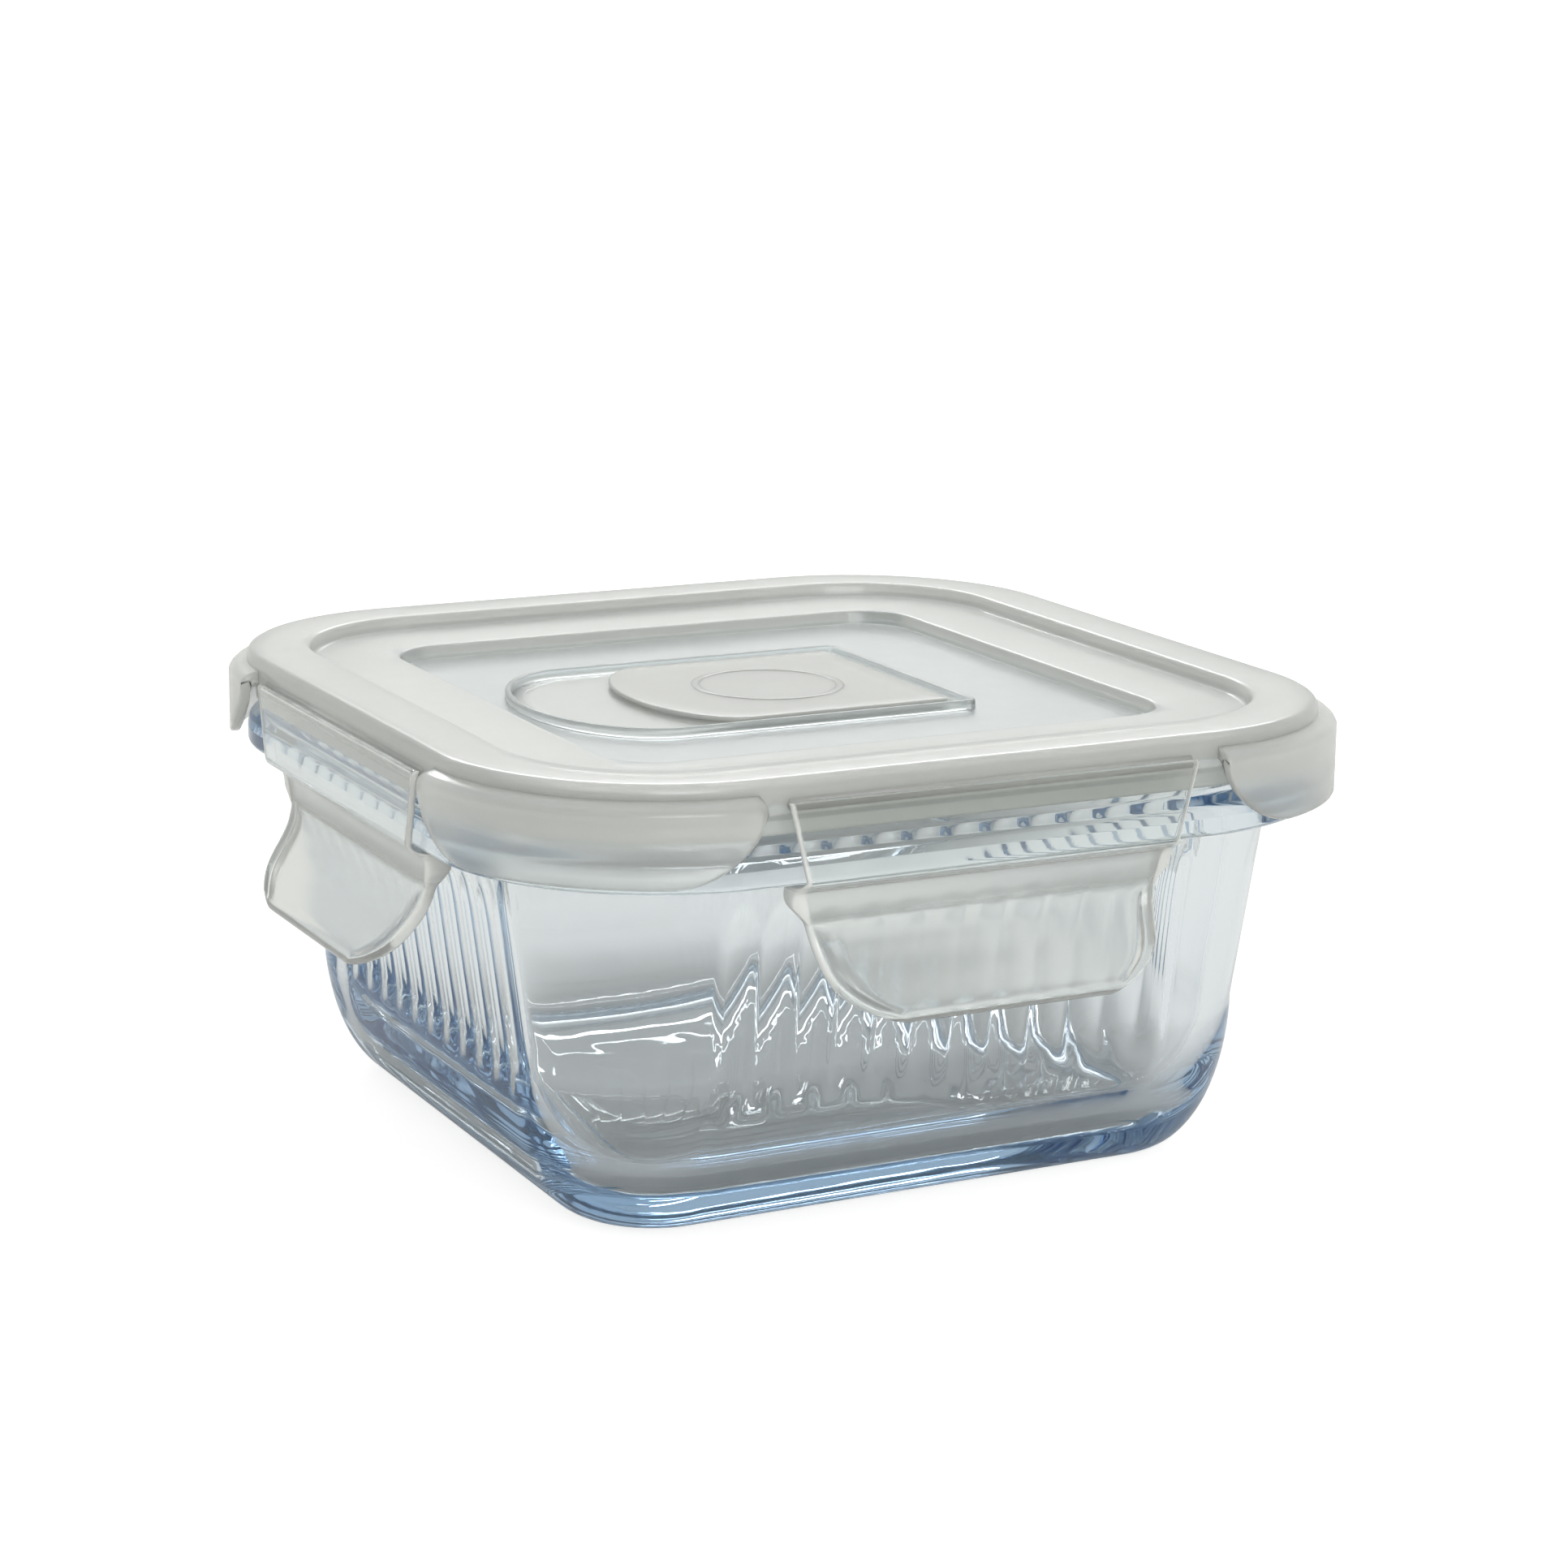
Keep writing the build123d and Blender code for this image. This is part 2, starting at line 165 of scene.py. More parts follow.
class Nodes:
    """Short way to add and join shader nodes."""

    def __init__(self, material):
        self.tree = material.node_tree
        self.out = self.tree.nodes["Material Output"]
        self.bsdf = self.tree.nodes["Principled BSDF"]

    def add(self, kind, inputs=None, **settings):
        node = self.tree.nodes.new(kind)
        for key, value in settings.items():
            setattr(node, key, value)
        for key, value in (inputs or {}).items():
            if isinstance(value, bpy.types.NodeSocket):
                self.tree.links.new(value, node.inputs[key])
            else:
                node.inputs[key].default_value = value
        return node

    def link(self, a, b):
        self.tree.links.new(a, b)

    def noise(self, scale, detail=2.0, roughness=0.5):
        where = self.add("ShaderNodeTexCoord").outputs["Object"]
        return self.add(
            "ShaderNodeTexNoise", {"Vector": where, "Scale": scale, "Detail": detail, "Roughness": roughness}
        ).outputs["Fac"]

    def ramp(self, fac, *stops):
        node = self.add("ShaderNodeValToRGB", {"Fac": fac})
        elements = node.color_ramp.elements
        while len(elements) < len(stops):
            elements.new(0.5)
        for element, (at, colour) in zip(elements, stops):
            element.position = at
            element.color = (*colour, 1) if hasattr(colour, "__len__") else (colour,) * 3 + (1,)
        return node.outputs["Color"]

    def span(self, value, low, high, to_low, to_high, smooth=False):
        kind = "SMOOTHSTEP" if smooth else "LINEAR"
        return self.add(
            "ShaderNodeMapRange",
            {0: value, 1: low, 2: high, 3: to_low, 4: to_high},
            interpolation_type=kind,
        ).outputs[0]

    def maths(self, operation, *values):
        return self.add("ShaderNodeMath", dict(enumerate(values)), operation=operation).outputs[0]

    def coordinates(self):
        """The point in the CAD frame, in metres, whole and as x, y and z."""
        where = self.add("ShaderNodeTexCoord").outputs["Object"]
        return where, self.add("ShaderNodeSeparateXYZ", {0: where}).outputs

    def edge_of_web(self, where, z):
        """How far a point is outside the sloping side edge of the clip's web, in metres (negative inside)."""
        split = self.add("ShaderNodeSeparateXYZ", {0: where})
        x = self.maths("ABSOLUTE", split.outputs["X"])
        y = self.maths("ABSOLUTE", split.outputs["Y"])
        along = self.maths("MINIMUM", x, y)
        half = self.maths("MULTIPLY_ADD", z, WEB_EDGE_SLOPE, WEB_EDGE_AT_ZERO)
        return self.maths("SUBTRACT", along, half)


def mix_colours(tree, factor, first, second):
    """A colour between first and second, each a socket or a colour."""
    node = tree.nodes.new("ShaderNodeMix")
    node.data_type = "RGBA"
    tree.links.new(factor, node.inputs["Factor"])
    ends = [socket for socket in node.inputs if socket.type == "RGBA"]
    for socket, value in zip(ends, (first, second)):
        if isinstance(value, bpy.types.NodeSocket):
            tree.links.new(value, socket)
        else:
            socket.default_value = value
    return next(socket for socket in node.outputs if socket.type == "RGBA")


def new_material(name, **values):
    material = bpy.data.materials.new(name)
    material.use_nodes = True
    nodes = Nodes(material)
    for key, value in values.items():
        nodes.bsdf.inputs[key.replace("_", " ")].default_value = value
    return material, nodes


def glass_material():
    """Clear pressed glass: faint blue in its thickness, slightly wavy on its faces."""
    material, nodes = new_material("pressed_glass", IOR=1.5)
    nodes.bsdf.inputs["Transmission Weight"].default_value = 1.0
    nodes.link(nodes.ramp(nodes.noise(60), (0.3, (0.97, 0.985, 0.99)), (0.7, (0.985, 0.993, 0.995))),
               nodes.bsdf.inputs["Base Color"])
    nodes.link(nodes.span(nodes.noise(900), 0.35, 0.8, 0.0, 0.02), nodes.bsdf.inputs["Roughness"])
    bump = nodes.add("ShaderNodeBump", {"Height": nodes.noise(90, 1.0), "Strength": 0.15, "Distance": 0.0003})
    nodes.link(bump.outputs["Normal"], nodes.bsdf.inputs["Normal"])
    absorb = nodes.add("ShaderNodeVolumeAbsorption", {"Color": (0.25, 0.50, 0.72, 1), "Density": 15.0})
    nodes.link(absorb.outputs["Volume"], nodes.out.inputs["Volume"])
    return material


def plastic_material(name, tint, clear, rough, stipple):
    """Frosted polypropylene: milky, with a fine moulded stipple. clear is how far it lets light through."""
    material, nodes = new_material(name, IOR=1.49)
    nodes.link(nodes.ramp(nodes.noise(45), (0.25, tuple(c * 0.96 for c in tint)), (0.75, tint)),
               nodes.bsdf.inputs["Base Color"])
    nodes.bsdf.inputs["Transmission Weight"].default_value = clear
    nodes.bsdf.inputs["Coat Weight"].default_value = 0.4
    nodes.bsdf.inputs["Coat Roughness"].default_value = 0.12
    nodes.link(nodes.span(nodes.noise(300), 0.3, 0.7, rough - 0.01, rough + 0.02), nodes.bsdf.inputs["Roughness"])
    bump = nodes.add("ShaderNodeBump", {"Height": nodes.noise(2600, 3.0), "Strength": stipple, "Distance": 0.0001})
    nodes.link(bump.outputs["Normal"], nodes.bsdf.inputs["Normal"])
    return material, nodes


MILKY = (0.955, 0.965, 0.94)
BLUISH_LOW, BLUISH_HIGH = (0.87, 0.915, 0.925), (0.90, 0.94, 0.945)
RIM_CLEAR, PANEL_CLEAR = 0.70, 0.90      # how far the thick rim and the thin panel let light through
PANEL_EDGE = (0.0380, 0.0390)            # metres from the middle, where the panel turns into its edge
HEM = (0.0510, 0.0550)                   # heights in metres, over which the hem of the skirts turns milky


def lid_material():
    """Frosted all over, but clearer and bluer in the thin sunk panel and clearer in the low hem of the skirts."""
    material, nodes = plastic_material("lid_polypropylene", MILKY, RIM_CLEAR, 0.295, 0.02)
    _, axes = nodes.coordinates()
    x = nodes.maths("ABSOLUTE", axes["X"])
    y = nodes.maths("ABSOLUTE", axes["Y"])
    out = nodes.maths("MAXIMUM", x, y)
    panel = nodes.span(out, *PANEL_EDGE, 1.0, 0.0, smooth=True)
    hem = nodes.span(axes["Z"], *HEM, 0.9, 0.0, smooth=True)
    thin = nodes.maths("MAXIMUM", panel, hem)
    nodes.link(nodes.span(thin, 0, 1, RIM_CLEAR, PANEL_CLEAR), nodes.bsdf.inputs["Transmission Weight"])
    milky = nodes.bsdf.inputs["Base Color"].links[0].from_socket
    bluish = nodes.ramp(nodes.noise(45), (0.25, BLUISH_LOW), (0.75, BLUISH_HIGH))
    nodes.link(mix_colours(nodes.tree, panel, milky, bluish), nodes.bsdf.inputs["Base Color"])
    return material


CLIP_HEIGHTS = (0.030, 0.060)            # metres, from the tip of the tab to above the film hinge
# (height as a part of CLIP_HEIGHTS, value), through the tab, the locking rib, the web and the hinge
CLIP_CLEAR = ((0.0, 0.92), (0.36, 0.92), (0.42, 0.80), (0.53, 0.80), (0.57, 1.0), (0.87, 1.0), (0.91, 0.9))
CLIP_ROUGH = ((0.0, 0.14), (0.36, 0.15), (0.42, 0.30), (0.53, 0.28), (0.57, 0.03), (0.87, 0.03), (0.91, 0.15))


def clip_material():
    """As the lid, but the thin web is nearly clear, the rib milky and the tab in between."""
    material, nodes = plastic_material("clip_polypropylene", MILKY, 0.7, 0.3, 0.01)
    where, axes = nodes.coordinates()
    z = axes["Z"]
    level = nodes.span(z, *CLIP_HEIGHTS, 0.0, 1.0)
    clear = nodes.ramp(level, *CLIP_CLEAR)
    rough = nodes.ramp(level, *CLIP_ROUGH)
    edge = nodes.span(nodes.edge_of_web(where, z), -0.0007, -0.0002, 1.0, 0.35, smooth=True)
    clear = nodes.maths("MULTIPLY", clear, edge)
    nodes.link(clear, nodes.bsdf.inputs["Transmission Weight"])
    nodes.link(rough, nodes.bsdf.inputs["Roughness"])
    return material


def silicone_material():
    material, nodes = new_material("clear_silicone", IOR=1.41)
    nodes.link(nodes.ramp(nodes.noise(200), (0.3, (0.86, 0.88, 0.88)), (0.7, (0.90, 0.92, 0.92))),
               nodes.bsdf.inputs["Base Color"])
    nodes.bsdf.inputs["Transmission Weight"].default_value = 0.7
    nodes.link(nodes.span(nodes.noise(700), 0.3, 0.7, 0.3, 0.45), nodes.bsdf.inputs["Roughness"])
    return material


# ---- glass dish -----------------------------------------------------------------------------
FLUTE_PITCH, FLUTE_DEPTH, FLUTE_RADIUS = 5.4, 0.55, 6.9
FLUTES_END = 6 * FLUTE_PITCH            # twelve flutes on each wall
FLUTE_BOTTOM, FLUTE_TOP, FLUTE_FADE = 17.0, 43.5, 6.0
HEEL_TOP = 20.5


def flute_depth(along, z):
    if abs(along) >= FLUTES_END or not FLUTE_BOTTOM < z < FLUTE_TOP:
        return 0.0
    off = (along % FLUTE_PITCH) - FLUTE_PITCH / 2
    depth = math.sqrt(FLUTE_RADIUS ** 2 - off ** 2) - (FLUTE_RADIUS - FLUTE_DEPTH)
    end = min(z - FLUTE_BOTTOM, FLUTE_TOP - z) / FLUTE_FADE
    lift = (1 - min(end, 1)) ** 2 * FLUTE_DEPTH
    return max(0.0, depth - lift)


def glass_dish():
    step = FLUTE_PITCH / 12
    inner = [k * step for k in range(-69, 70)]
    side = [-1] + [u / CORNER for u in inner] + [1]
    corner = 36

    def ellipse(cx, rx, rz, n):
        return [
            (cx + rx * math.sin(math.radians(90 * i / n)), HEEL_TOP - rz * math.cos(math.radians(90 * i / n)))
            for i in range(n + 1)
        ]

    foot = fillet([(35.6, 1.2, 0), (36.3, 1.0, 0.6), (36.9, 0, 0.5), (39.6, 0, 0)], 3)
    heel = ellipse(39.6, 10.3, 20.5, 22)
    wall = [(49.9 + 3.7 * t, HEEL_TOP + 26.3 * t) for t in [i / 34 for i in range(1, 33)]]
    flange = fillet(
        [
            (53.2, 44.2, 0), (53.6, 46.8, 1.3), (59.6, 46.8, 0.9), (59.6, 49.2, 0.6), (59.3, 50.6, 1.2),
            (57.4, 51.7, 1.0), (56.8, 53.0, 0.8), (56.8, 56.0, 1.1), (50.9, 56.0, 1.1), (50.6, 53.0, 0),
        ],
        5,
    )[1:]
    inside_wall = [(50.6 - 4.4 * t, 53.0 - 32.5 * t) for t in [i / 12 for i in range(1, 12)]]
    inside_heel = list(reversed(ellipse(35.2, 11.0, 14.9, 20)))
    section = foot + heel[1:] + wall + flange + inside_wall + inside_heel
    rows = []
    for h, z in section:
        loop = square_loop(h, z, side, corner)
        on_outside = HEEL_TOP - 4 < z < 44 and (h, z) in heel + wall
        if on_outside:
            per_side = len(side) - 1 + corner
            moved = []
            for i, (x, y, zz) in enumerate(loop):
                k, j = divmod(i, per_side)
                if j < len(side) - 1:
                    along = side[j] * CORNER
                    depth = flute_depth(along, z)
                    shift = Matrix.Rotation(math.radians(90 * k), 2) @ Vector((0, depth))
                    x, y = x + shift.x, y + shift.y
                moved.append((x, y, zz))
            loop = moved
        rows.append(loop)
    shrink = (0.8, 0.5, 0.2)
    under = inward_rows(35.6, 1.2, side, corner, shrink)
    floor = inward_rows(35.2, 5.6, side, corner, shrink)
    return loft(list(reversed(under)) + rows + floor, cap_first=True, cap_last=True)


# ---- lid ------------------------------------------------------------------------------------
def vent_loop(shape, inset, z):
    """Plan outline of the vent, drawn in by inset: half ellipse on the left, rounded corners on the right."""
    half_w, right, arc_x, reach, r = shape
    half_w, right, reach, r = half_w - inset, right - inset, reach - inset, max(r - inset, 0.15)
    flat = right - r
    straight = [i / 12 for i in range(1, 13)]
    bend = [math.radians(a) for a in (18, 36, 54, 72, 90)]
    half_turn = [math.pi * i / 48 for i in range(49)]
    pts = [(arc_x - reach * math.sin(a), half_w * math.cos(a)) for a in half_turn]
    pts += [(arc_x + (flat - arc_x) * t, -half_w) for t in straight]
    pts += [(flat + r * math.sin(a), -half_w + r - r * math.cos(a)) for a in bend]
    pts += [(right, (r - half_w) * (1 - 2 * t)) for t in straight]
    pts += [(flat + r * math.cos(a), half_w - r + r * math.sin(a)) for a in bend]
    pts += [(flat + (arc_x - flat) * t, half_w) for t in straight[:-1]]
    return [(x, y, z) for x, y in pts]


def hole_loop(loop, radius):
    """A circle with one point in the direction of each point of loop, at the same height."""
    turns = [math.atan2(y, x) for x, y, _ in loop]
    return [(radius * math.cos(a), radius * math.sin(a), loop[0][2]) for a in turns]


# half width, right edge, where the arc starts, reach of the arc, corner radius
KERB = (20.3, 20.6, -21.6, 13.4, 1.6)
FLAP = (17.6, 17.6, -10.5, 9.6, 0.8)
VENT_HOLE_RADIUS = 4.2
PANEL_HALF, PANEL_TOP, PANEL_UNDER = 38.3, 56.1, 54.8
RECESS_TOP, RECESS_UNDER = 56.14, 56.06


def lid_shell():
    side, corner = even(10), 24
    section = fillet(
        [
            (PANEL_HALF, PANEL_TOP, 0), (38.5, PANEL_TOP, 0.3), (39.0, 57.9, 0.5), (50.6, 57.9, 0.6), (51.2, 59.8, 0.8),
            (59.6, 59.8, 1.5), (59.6, 55.6, 0.4), (58.5, 54.7, 0.4), (58.4, 52.8, 0.4), (57.3, 52.8, 0.3),
            (57.3, 58.4, 0.2), (52.3, 58.4, 0.2), (52.3, 56.4, 0.2), (50.3, 56.4, 0.3), (50.3, 51.5, 0.5),
            (49.0, 51.5, 0.5), (49.0, 56.4, 0.5), (39.9, 56.4, 0.4), (39.3, PANEL_UNDER, 0.4),
            (PANEL_HALF, PANEL_UNDER, 0),
        ],
        4,
    )
    rows = square_rows(section, side, corner)
    shrink = (0.9, 0.6, 0.3)
    top = inward_rows(PANEL_HALF, PANEL_TOP, side, corner, shrink)
    low = inward_rows(PANEL_HALF, PANEL_UNDER, side, corner, shrink)
    hole = [hole_loop(rows_end, VENT_HOLE_RADIUS) for rows_end in (top[-1], low[-1])]
    body = loft([hole[0]] + top[::-1] + rows + low + [hole[1]], closed_rows=True)
    kerb_section = [
        (0, 55.9), (0, 57.0), (0.12, 57.22), (0.3, 57.3), (0.6, 57.3), (0.78, 57.22), (0.9, 57.0), (0.9, 55.9),
    ]
    kerb = loft([vent_loop(KERB, t, z) for t, z in kerb_section], closed_rows=True)
    return merge(body, kerb, vent_saddle(), *seat_strips())


def vent_recess():
    """Milky skin on the panel inside the kerb, with the steam hole through it.

    It stands for no solid of its own. The disc of the vent plug sinks 0.04 into it.
    """
    shrink = (0.35, 0.65, 0.9)

    def inwards(z):
        edge = vent_loop(KERB, 0.5, z)
        rows = [[(x * k, y * k, z) for x, y, _ in edge] for k in shrink]
        return [hole_loop(rows[0], VENT_HOLE_RADIUS)] + rows + [edge]

    return loft(inwards(RECESS_TOP) + inwards(RECESS_UNDER)[::-1], closed_rows=True)


def vent_saddle():
    """Low strip that the film hinge of the vent flap grows out of."""
    profile = [(16.5, 55.9), (16.5, 56.2), (16.65, 56.33), (16.9, 56.38), (18.3, 56.38), (18.55, 56.33), (18.7, 56.2),
               (18.7, 55.9)]
    return loft([[(x, y, z) for x, z in profile] for y in (-15, 0, 15)], cap_first=True, cap_last=True)


def seat_strips():
    """Low lip along each side of the rim, that the film hinge of the clip grows out of."""
    strips = []
    profile = [(59.3, 57.5), (59.6, 57.4), (59.85, 57.2), (59.95, 56.9), (59.85, 56.3), (59.6, 56.0), (59.3, 55.9)]
    rows = []
    for x in (-27.6, -27.3, 0, 27.3, 27.6):
        k = 0.4 if abs(x) > 27.5 else 1
        rows.append([(x, -(59.3 + (h - 59.3) * k), 56.7 + (z - 56.7) * k) for h, z in profile])
    strip = loft(rows, cap_first=True, cap_last=True)
    for turn in SIDE_TURNS.values():
        strips.append(turned(strip, turn))
    return strips


def corner_skirts():
    """Four skirts that hang over the glass flange at the corners, their ends swept down in arcs."""
    sweep, low, high = 10.8, 48.0, 56.3
    angles = [0, 1, 2, 3.5, 5, 7, 9, 11.5, 14, 17, 20.5] + [20.5 + 49 * i / 14 for i in range(1, 15)]
    angles += [90 - a for a in reversed([0, 1, 2, 3.5, 5, 7, 9, 11.5, 14, 17])]
    rows = []
    for angle in angles:
        near = min(angle, 90 - angle)
        t = max(0.0, 1 - 30.8 * math.sin(math.radians(near)) / sweep)
        bottom = low + (high - low) * (1 - (1 - t ** 1.7) ** (1 / 1.7))
        drop = 56.6 - bottom
        section = [
            (59.2, 58.3), (59.9, 57.95), (60.7, 57.75), (61.3, 57.5), (61.75, 57.1), (62.0, 56.6),
            (62.0, 56.6 - 0.33 * drop), (62.0, 56.6 - 0.67 * drop), (62.0, bottom + 0.35),
            (61.88, bottom + 0.1), (61.6, bottom), (61.0, bottom), (60.72, bottom + 0.1), (60.6, bottom + 0.3),
            (60.6, 55.2 + (bottom + 0.3 - 55.2) * 0.5), (60.6, max(55.2, bottom + 0.3)),
            (60.2, max(55.8, bottom + 0.32)), (59.2, max(56.2, bottom + 0.34)),
        ]
        a = math.radians(-90 + angle)
        row = []
        for h, z in section:
            r = h - CORNER
            row.append((CORNER + r * math.cos(a), -CORNER + r * math.sin(a), z))
        rows.append(row)
    skirt = loft(rows, cap_first=True, cap_last=True)
    return merge(*[turned(skirt, 90 * k) for k in range(4)])


def vent_flap():
    section = [(0.5, 56.55), (0.12, 56.6), (0, 56.75), (0, 57.0), (0.1, 57.15), (0.3, 57.2)]
    rows = [vent_loop(FLAP, t, z) for t, z in section]
    base = vent_loop(FLAP, 0.3, 57.2)
    low = vent_loop(FLAP, 0.5, 56.55)

    def towards_middle(loop, k):
        return [(x * k, y * k, z) for x, y, z in loop]

    inner_top = [towards_middle(base, k) for k in (0.85, 0.6, 0.3, 0.1)]
    inner_low = [towards_middle(low, k) for k in (0.1, 0.3, 0.6, 0.85)]
    plate = loft(inner_low + rows + inner_top, cap_first=True, cap_last=True)
    ring_section = [
        (10.2, 57.1), (10.1, 57.22), (9.9, 57.29), (9.7, 57.32), (9.4, 57.32), (9.2, 57.29), (9.0, 57.22), (8.9, 57.1),
    ]
    steps = 72
    ring = loft(
        [[(r * math.cos(2 * math.pi * i / steps), r * math.sin(2 * math.pi * i / steps), z) for i in range(steps)]
         for r, z in ring_section],
        closed_rows=True,
    )
    return merge(plate, ring)


# ---- clips ----------------------------------------------------------------------------------
CLIP_PATH = [  # outer (h, z), inner (h, z), from the film hinge down to the tip of the thumb tab
    ((60.35, 57.05), (60.0, 56.85)), ((60.85, 56.9), (60.15, 56.5)), ((61.05, 56.5), (60.2, 56.2)),
    ((61.0, 55.6), (60.2, 55.4)), ((61.0, 52.0), (60.2, 52.0)), ((61.0, 48.3), (60.2, 48.0)),
    ((60.9, 47.4), (60.1, 47.1)), ((60.4, 46.75), (59.4, 46.5)), ((59.4, 46.15), (57.6, 46.4)),
    ((58.6, 45.6), (56.2, 46.35)), ((58.25, 44.9), (55.45, 45.8)), ((58.15, 44.0), (55.3, 44.8)),
    ((58.1, 43.0), (55.35, 43.5)), ((58.02, 42.0), (55.8, 42.4)), ((58.0, 41.2), (56.5, 41.3)),
    ((58.4, 39.6), (57.1, 39.5)), ((59.2, 38.1), (57.9, 37.8)), ((60.2, 36.7), (59.0, 36.2)),
    ((61.5, 35.1), (60.4, 34.4)), ((62.8, 33.5), (61.8, 32.8)), ((64.0, 32.0), (63.2, 31.3)),
    ((64.9, 30.8), (64.4, 30.1)),
]
CLIP_WIDTHS = [  # height, half width
    (60.0, 27.7), (56.4, 27.7), (47.3, 25.4), (46.8, 25.8), (46.3, 26.1), (44.2, 26.1), (43.6, 25.8), (42.8, 25.0),
    (41.6, 24.0), (40.0, 23.6), (38.0, 23.2), (36.0, 22.7), (34.6, 22.0), (33.4, 21.0), (32.4, 19.5), (31.6, 17.9),
    (30.9, 15.9), (30.3, 13.5),
]


def clip_half_width(z):
    for (z1, w1), (z0, w0) in zip(CLIP_WIDTHS, CLIP_WIDTHS[1:]):
        if z >= z0:
            return w0 + (w1 - w0) * min(1, (z - z0) / (z1 - z0))
    return CLIP_WIDTHS[-1][1]


def catmull(points, per):
    out = []
    n = len(points)
    for i in range(n - 1):
        p0, p1, p2, p3 = (Vector(points[min(max(k, 0), n - 1)]) for k in (i - 1, i, i + 1, i + 2))
        for k in range(per):
            t = k / per
            out.append(0.5 * (2 * p1 + (p2 - p0) * t + (2 * p0 - 5 * p1 + 4 * p2 - p3) * t * t
                              + (3 * p1 - p0 - 3 * p2 + p3) * t ** 3))
    out.append(Vector(points[-1]))
    return out


def clip_sheet():
    """One moulding: grid over its outside, grid over its inside, joined round a rounded edge."""
    path = catmull([(*a, *b) for a, b in CLIP_PATH], 3)
    edge = 0.4
    insets = [0, 0.03, 0.1, 0.2, edge, 0.9, 1.15, 1.4]
    rows = len(path)
    columns = [("low", d) for d in insets] + [("mid", k / 16) for k in range(1, 16)]
    columns += [("high", d) for d in reversed(insets)]

    def bulge(d):
        return max(0.2, math.sqrt(max(0, 1 - (1 - min(d, edge) / edge) ** 2)))

    verts = []
    for outside in (True, False):
        for r, p in enumerate(path):
            outer, inner = Vector(p[:2]), Vector(p[2:])
            middle, half = (outer + inner) / 2, (outer - inner) / 2
            end = min(r, rows - 1 - r)
            k_end = (0.35, 0.8, 1.0)[min(end, 2)]
            width = clip_half_width(middle.y)
            on_tab = min(1.0, max(0.0, (41.5 - middle.y) / 1.5))
            tip_bead = math.exp(-(((middle.y - 30.9) / 0.55) ** 2))
            for kind, value in columns:
                if kind == "mid":
                    x, k, bead = (-1 + 2 * value) * (width - 1.6), 1.0, tip_bead
                else:
                    x, k = (width - value) * (-1 if kind == "low" else 1), bulge(value)
                    bead = 0.0 if value > 1.3 else 1.0
                k = k * (1 + 0.28 * max(bead, tip_bead) * on_tab)
                offset = half * min(k, k_end * 1.28) * (1 if outside else -1)
                q = middle + offset
                verts.append((x, -q.x, q.y))
    cols = len(columns)
    size = rows * cols
    faces = []
    for r in range(rows - 1):
        for c in range(cols - 1):
            a, b = r * cols + c, (r + 1) * cols + c
            faces.append((a, b, b + 1, a + 1))
            faces.append((size + a, size + a + 1, size + b + 1, size + b))
    rim = [c for c in range(cols)] + [r * cols + cols - 1 for r in range(1, rows)]
    rim += [(rows - 1) * cols + c for c in range(cols - 2, -1, -1)] + [r * cols for r in range(rows - 2, 0, -1)]
    for a, b in zip(rim, rim[1:] + rim[:1]):
        faces.append((a, b, size + b, size + a))
    return outward(verts, faces)


# ---- put the pieces together ----------------------------------------------------------------
glass = glass_material()
lid_plastic = lid_material()
recess_plastic, _ = plastic_material("recess_polypropylene", (0.95, 0.96, 0.935), 0.55, 0.34, 0.02)
flap_plastic, _ = plastic_material("vent_polypropylene", (0.82, 0.83, 0.805), 0.72, 0.34, 0.02)
clip_plastic = clip_material()
silicone = silicone_material()


def piece(name, part, material, body, slot, *nodes):
    obj = mesh_object(name, *part, material)
    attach(obj, body)
    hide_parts(*nodes)
    return obj


glass_body = piece("glass_body", glass_dish(), glass, "dish", "glass", "glass_dish")
piece("lid_moulding", lid_shell(), lid_plastic, "lid", "lid_plastic", "lid_shell")
for name, part, material in (
    ("lid_corner_skirts", corner_skirts(), lid_plastic), ("lid_vent_recess", vent_recess(), recess_plastic)
):
    extra = mesh_object(name, *part, material)
    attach(extra, "lid")
piece("vent_flap_moulding", vent_flap(), flap_plastic, "vent", "vent_plastic", "vent_flap")
clip = clip_sheet()
for side_name, turn in SIDE_TURNS.items():
    piece(
        f"clip_moulding_{side_name}", turned(clip, turn), clip_plastic, f"clip_{side_name}", "clip_plastic",
        f"clip_{side_name}", f"locking_rib_{side_name}", f"thumb_tab_{side_name}",
    )
for node in ("lid_seal", "vent_plug"):
    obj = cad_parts[node]
    obj.data.materials.clear()
    obj.data.materials.append(silicone)

# ---- stage ----------------------------------------------------------------------------------
FLOOR_REACH = 40.0
FLOOR_DROP = -0.0002                     # keeps the floor clear of the foot ring
# glow of the floor: the low value under the dish is a painted contact shadow
GLOW_IN_PAINTED_SHADOW_UNDER_DISH, GLOW_BESIDE_DISH, GLOW_SEEN_DIRECTLY = 0.10, 0.34, 0.75
floor_mesh = bpy.data.meshes.new("floor")
floor_corners = [(x * FLOOR_REACH, y * FLOOR_REACH, 0) for x, y in ((-1, -1), (1, -1), (1, 1), (-1, 1))]
floor_mesh.from_pydata(floor_corners, [], [(0, 1, 2, 3)])
floor = bpy.data.objects.new("floor", floor_mesh)
floor.location.z = FLOOR_DROP
bpy.context.scene.collection.objects.link(floor)
floor_material, floor_nodes = new_material("pale_floor", Roughness=0.9)
floor_nodes.bsdf.inputs["Specular IOR Level"].default_value = 0.1
floor_colour = floor_nodes.ramp(floor_nodes.noise(3), (0.3, (0.50, 0.50, 0.485)), (0.7, (0.52, 0.52, 0.505)))
floor_nodes.link(floor_colour, floor_nodes.bsdf.inputs["Base Color"])
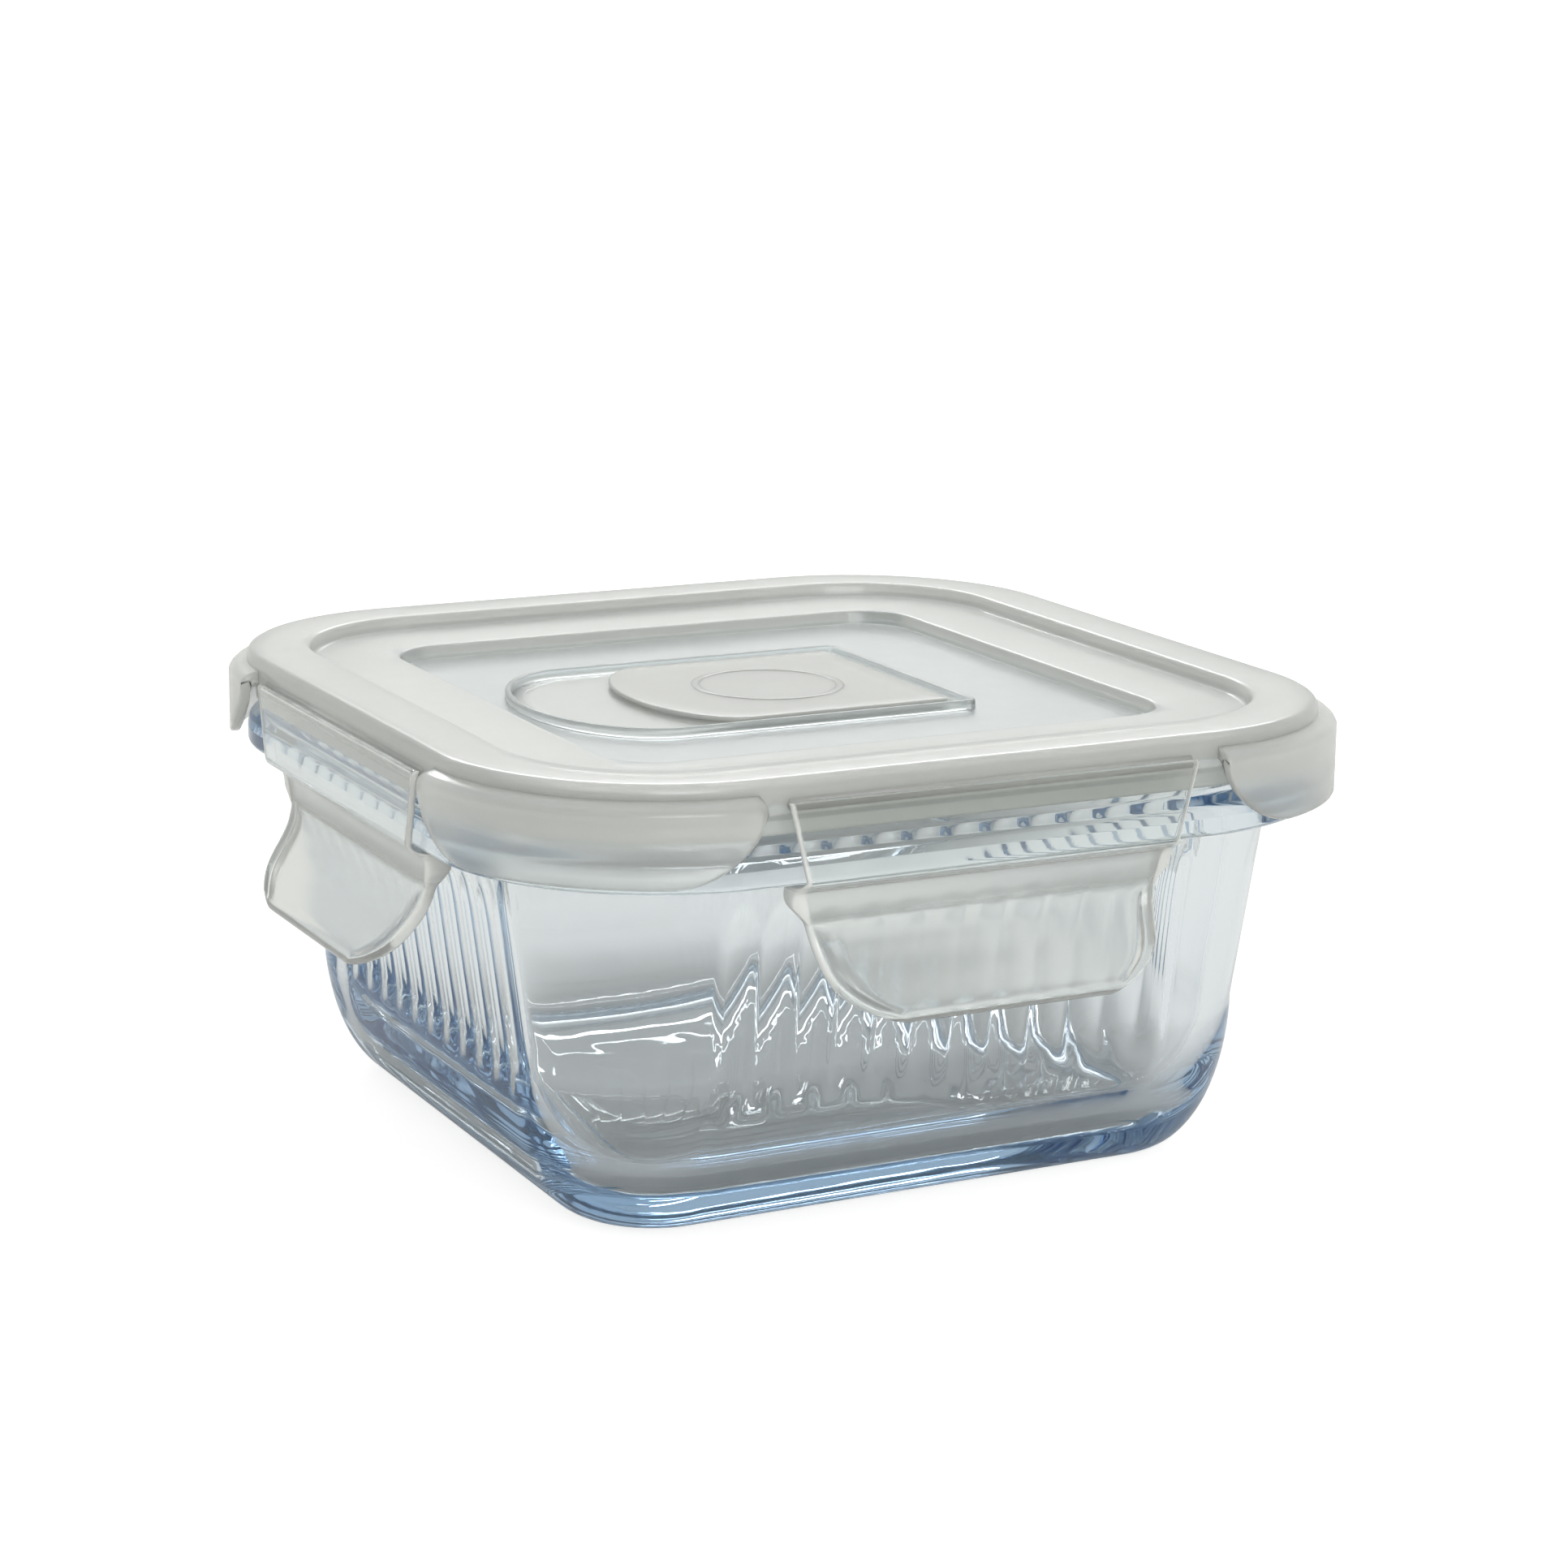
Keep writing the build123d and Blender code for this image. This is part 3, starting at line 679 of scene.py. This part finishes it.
# a light-table glow: white for the direct view, softer for what the glass refracts, and dimmed under the dish as a
# painted contact shadow
direct = floor_nodes.add("ShaderNodeLightPath").outputs["Is Camera Ray"]
floor_nodes.bsdf.inputs["Emission Color"].default_value = (1, 1, 1, 1)
place = floor_nodes.add("ShaderNodeTexCoord").outputs["Object"]
reach = floor_nodes.add("ShaderNodeVectorMath", {0: place}, operation="LENGTH").outputs["Value"]
# painted shadow: for all but camera rays the glow falls from 0.34 beside the dish to 0.10 under it
indirect_glow_with_painted_shadow = floor_nodes.span(reach, 0.045, 0.080, GLOW_IN_PAINTED_SHADOW_UNDER_DISH, GLOW_BESIDE_DISH, smooth=True)
seen = floor_nodes.span(direct, 0, 1, 0.0, GLOW_SEEN_DIRECTLY)
glow = floor_nodes.maths("MAXIMUM", indirect_glow_with_painted_shadow, seen)
floor_nodes.link(glow, floor_nodes.bsdf.inputs["Emission Strength"])
floor_mesh.materials.append(floor_material)


def soft_light(name, place, aim, width, height, power):
    data = bpy.data.lights.new(name, "AREA")
    data.shape = "RECTANGLE"
    data.size, data.size_y = width, height
    data.energy = power
    obj = bpy.data.objects.new(name, data)
    obj.location = place
    obj.rotation_mode = "QUATERNION"
    obj.rotation_quaternion = (Vector(aim) - Vector(place)).to_track_quat("-Z", "Y")
    bpy.context.scene.collection.objects.link(obj)
    return obj


# a narrow window behind, which lights only the glass: the inner floor mirrors it, and the front
# flutes break what is seen of it into a zigzag
strip = soft_light("window_behind", (1.00, 2.16, 0.375), (0, 0, 0.02), 1.6, 0.028, 3.5)
glass_only = bpy.data.collections.new("glass_only")
glass_only.objects.link(glass_body)
strip.light_linking.receiver_collection = glass_only
soft_light("strip_behind", (0.90, 1.89, 1.23), (0, 0, 0.02), 1.6, 0.14, 11)
soft_light("front_fill", (-0.3, -1.9, 1.1), (0, 0, 0.03), 1.2, 0.8, 11)
soft_light("overhead", (0.0, 0.1, 1.6), (0, 0, 0), 1.1, 1.1, 1.5)

# a pale room: darkest behind the camera, lightest behind the object
world = bpy.data.worlds.new("studio")
bpy.context.scene.world = world
world.use_nodes = True
tree = world.node_tree
background = tree.nodes["Background"]
where = tree.nodes.new("ShaderNodeTexCoord")
split = tree.nodes.new("ShaderNodeSeparateXYZ")
tree.links.new(where.outputs["Generated"], split.inputs[0])
towards = tree.nodes.new("ShaderNodeVectorMath")
towards.operation = "DOT_PRODUCT"
tree.links.new(where.outputs["Generated"], towards.inputs[0])
towards.inputs[1].default_value = (0.55, 0.83, 0)


def world_span(socket, low, high):
    node = tree.nodes.new("ShaderNodeMapRange")
    node.interpolation_type = "SMOOTHSTEP"
    tree.links.new(socket, node.inputs[0])
    node.inputs[1].default_value, node.inputs[2].default_value = low, high
    return node.outputs[0]


ROOM_BEHIND_CAMERA, ROOM_BEHIND_OBJECT, ROOM_OVERHEAD = (
    (0.58, 0.59, 0.57, 1), (0.86, 0.87, 0.845, 1), (0.77, 0.78, 0.76, 1)
)
around = mix_colours(tree, world_span(towards.outputs["Value"], -0.8, 0.7), ROOM_BEHIND_CAMERA, ROOM_BEHIND_OBJECT)
sky = mix_colours(tree, world_span(split.outputs["Z"], 0.2, 0.85), around, ROOM_OVERHEAD)
tree.links.new(sky, background.inputs["Color"])

# ---- camera ---------------------------------------------------------------------------------
AZIMUTH, ELEVATION, ROLL = (math.radians(a) for a in (-26.923, 12.88, 0.618))
SENSOR_MM, LENS_MM = 36, 84.17
SHIFT = (0.01418, -0.01532)
AIM = (-0.56, 0.31, 46.9)                # millimetres
DISTANCE = 0.4858                        # metres from AIM
back = Vector((math.sin(AZIMUTH) * math.cos(ELEVATION), -math.cos(AZIMUTH) * math.cos(ELEVATION), math.sin(ELEVATION)))
level = Vector((math.cos(AZIMUTH), math.sin(AZIMUTH), 0))
upward = level.cross(-back)
x_axis = level * math.cos(ROLL) + upward * math.sin(ROLL)
y_axis = upward * math.cos(ROLL) - level * math.sin(ROLL)
camera_data = bpy.data.cameras.new("camera")
camera_data.sensor_width = SENSOR_MM
camera_data.lens = LENS_MM
camera_data.shift_x, camera_data.shift_y = SHIFT
camera_data.clip_start, camera_data.clip_end = 0.01, 200
camera = bpy.data.objects.new("camera", camera_data)
eye = Vector(AIM) * MM + back * DISTANCE
camera.matrix_world = Matrix.Translation(eye) @ Matrix((x_axis, y_axis, back)).transposed().to_4x4()
bpy.context.scene.collection.objects.link(camera)
bpy.context.scene.camera = camera

scene = bpy.context.scene
scene.view_settings.view_transform = "Standard"
scene.cycles.max_bounces = 48
scene.cycles.transmission_bounces = 40
scene.cycles.glossy_bounces = 40
scene.cycles.diffuse_bounces = 6
